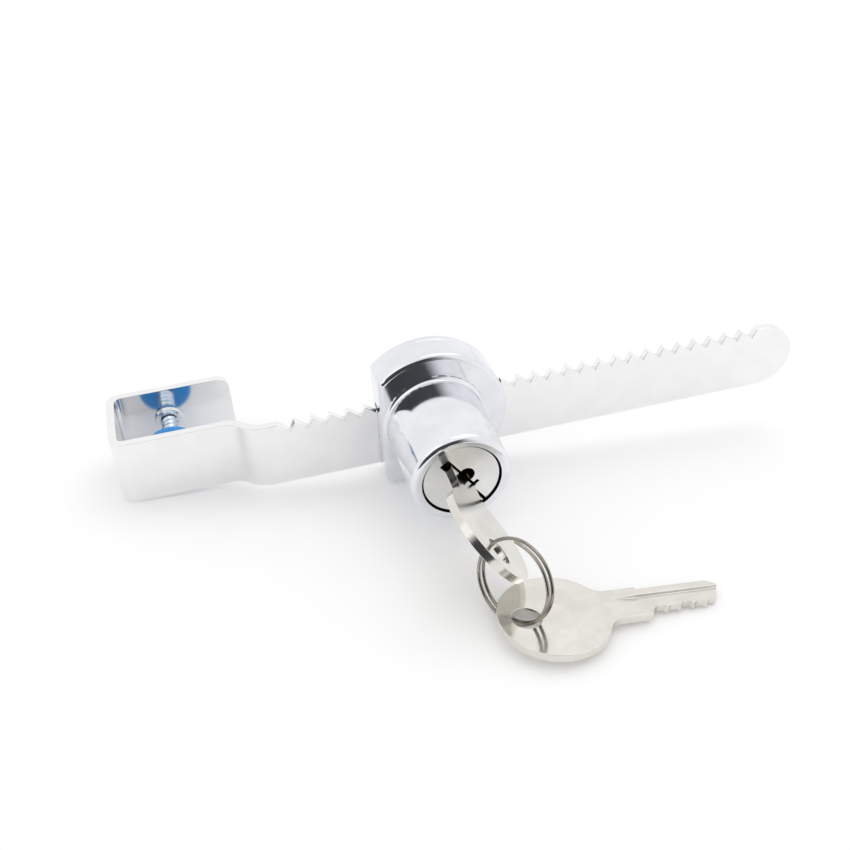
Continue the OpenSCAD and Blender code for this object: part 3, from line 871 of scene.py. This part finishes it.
@dataclass
class Studio:
    """White table, soft light and the photograph's camera."""

    eye: Vector = Vector((9.7, -166.8, 125.9)) * MM
    look: Vector = Vector((0.172, 0.778, -0.604))
    top: Vector = Vector((0.198, 0.573, 0.795))
    lens: float = 47.9
    sensor: float = 36.0
    near: float = 0.005
    table_normal: Vector = Vector((0.0702, 0.0698, 0.9951))
    table_point: Vector = Vector((-9.0, -1.2, -6.52)) * MM
    table_size: float = 3.0
    table_turn: float = -15.1
    table_reach: float = 78.0 * MM
    lamp_aim: Vector = Vector((45.0, -15.0, 0.0)) * MM
    ambient: Colour = (0.86, 0.86, 0.86)
    dark_room: Colour = (0.05, 0.05, 0.055)
    dark_across: tuple[float, float] = (0.55, 0.12)
    dark_along: tuple[float, float] = (-0.40, -0.62)
    dark_up: tuple[float, float] = (0.82, 0.62)

    def build(self) -> None:
        """Sets up table, lamps, surroundings and camera."""
        self._table()
        self._lamp("softbox", Vector((0.28, 0.22, 0.62)), size=0.5, power=0.62)
        self._lamp("fill", Vector((-0.5, -0.25, 0.5)), size=0.5, power=0.2)
        self._surroundings()
        self._camera()
        bpy.context.scene.view_settings.view_transform = "Standard"

    def _table(self) -> None:
        """A white table under the lock, with its front edge just out of the picture."""
        bpy.ops.object.select_all(action="DESELECT")
        bpy.ops.mesh.primitive_plane_add(size=self.table_size)
        table = bpy.context.active_object
        table.name = "white_table"
        front = Matrix.Translation((0.0, self.table_size / 2 - self.table_reach, 0.0))
        turn = Matrix.Rotation(math.radians(self.table_turn), 4, "Z")
        side = Vector((0.0, 1.0, 0.0)).cross(self.table_normal).normalized()
        tilt = Matrix((side, self.table_normal.cross(side), self.table_normal)).transposed().to_4x4()
        table.data.transform(Matrix.Translation(self.table_point) @ tilt @ turn @ front)
        paper = bpy.data.materials.new("white_paper")
        paper.use_nodes = True
        board = Board(paper.node_tree)
        shader = board.add("ShaderNodeBsdfPrincipled", {}, {
            "Base Color": (0.93, 0.93, 0.93, 1.0), "Roughness": 0.9, "Specular IOR Level": 0.0,
            "Emission Color": (1.0, 1.0, 1.0, 1.0), "Emission Strength": 0.13})
        output = board.add("ShaderNodeOutputMaterial")
        board.tree.links.new(shader.outputs[0], output.inputs["Surface"])
        table.data.materials.append(paper)

    def _lamp(self, name: str, place: Vector, size: float, power: float) -> None:
        """A square soft lamp aimed at the lock.

        Args:
            name: the lamp's name.
            place: where it stands, from the point that it is aimed at.
            size: its side.
            power: its power in watts.
        """
        light = bpy.data.lights.new(name, "AREA")
        light.size = size
        light.energy = power
        lamp = bpy.data.objects.new(name, light)
        lamp.location = self.lamp_aim + place
        lamp.rotation_euler = (-place).to_track_quat("-Z", "Y").to_euler()
        bpy.context.scene.collection.objects.link(lamp)

    def _surroundings(self) -> None:
        """White walls with a dark room behind the camera, for reflections, and an ambient light."""
        world = bpy.data.worlds.new("white_tent")
        world.use_nodes = True
        bpy.context.scene.world = world
        board = Board(world.node_tree)
        white = (1.0, 1.0, 1.0, 1.0)
        direction = board.value("ShaderNodeTexCoord", output="Generated")
        parts = board.add("ShaderNodeSeparateXYZ", {}, {0: direction})
        across, along, up = (Shade(board, output) for output in parts.outputs)
        dark = along.rising(*self.dark_along) * across.rising(*self.dark_across)
        dark = dark * up.rising(*self.dark_up)
        seen = board.value("ShaderNodeLightPath", output="Is Camera Ray")
        reflected = board.value("ShaderNodeLightPath", output="Is Glossy Ray")
        backdrop = board.mixed(seen, (*self.ambient, 1.0), white)
        walls = board.mixed(dark, white, (*self.dark_room, 1.0))
        shown = board.mixed(reflected, backdrop, walls)
        background = board.add("ShaderNodeBackground", {}, {"Color": shown, "Strength": 1.0})
        output = board.add("ShaderNodeOutputWorld")
        board.tree.links.new(background.outputs[0], output.inputs["Surface"])

    def _camera(self) -> None:
        """The camera at the photograph's place."""
        data = bpy.data.cameras.new("photo_camera")
        data.lens = self.lens
        data.sensor_width = self.sensor
        data.clip_start = self.near
        camera = bpy.data.objects.new("photo_camera", data)
        back = -self.look.normalized()
        right = self.top.cross(back).normalized()
        up = back.cross(right)
        turn = Matrix((right, up, back)).transposed().to_4x4()
        camera.matrix_world = Matrix.Translation(self.eye) @ turn
        bpy.context.scene.collection.objects.link(camera)
        bpy.context.scene.camera = camera


def main() -> None:
    """Loads the frame, dresses each sub-assembly and sets up the studio."""
    logging.basicConfig(level=logging.INFO, format="%(name)s: %(message)s")
    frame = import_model()
    bench = Bench(frame)
    joints = {joint["name"]: joint for joint in frame["record"]["behaviour"]["joints"]}
    axis = joints["plug_turn"]["pos_m"]
    for part in (HookedBar(bench), GlassClamp(bench), LockBody(bench, axis[0], axis[2]),
                 LockCore(bench, axis[0], axis[2]), KeySet(bench)):
        part.build()
        LOG.info("%s done", type(part).__name__)
    Studio().build()


if __name__ == "__main__":
    main()
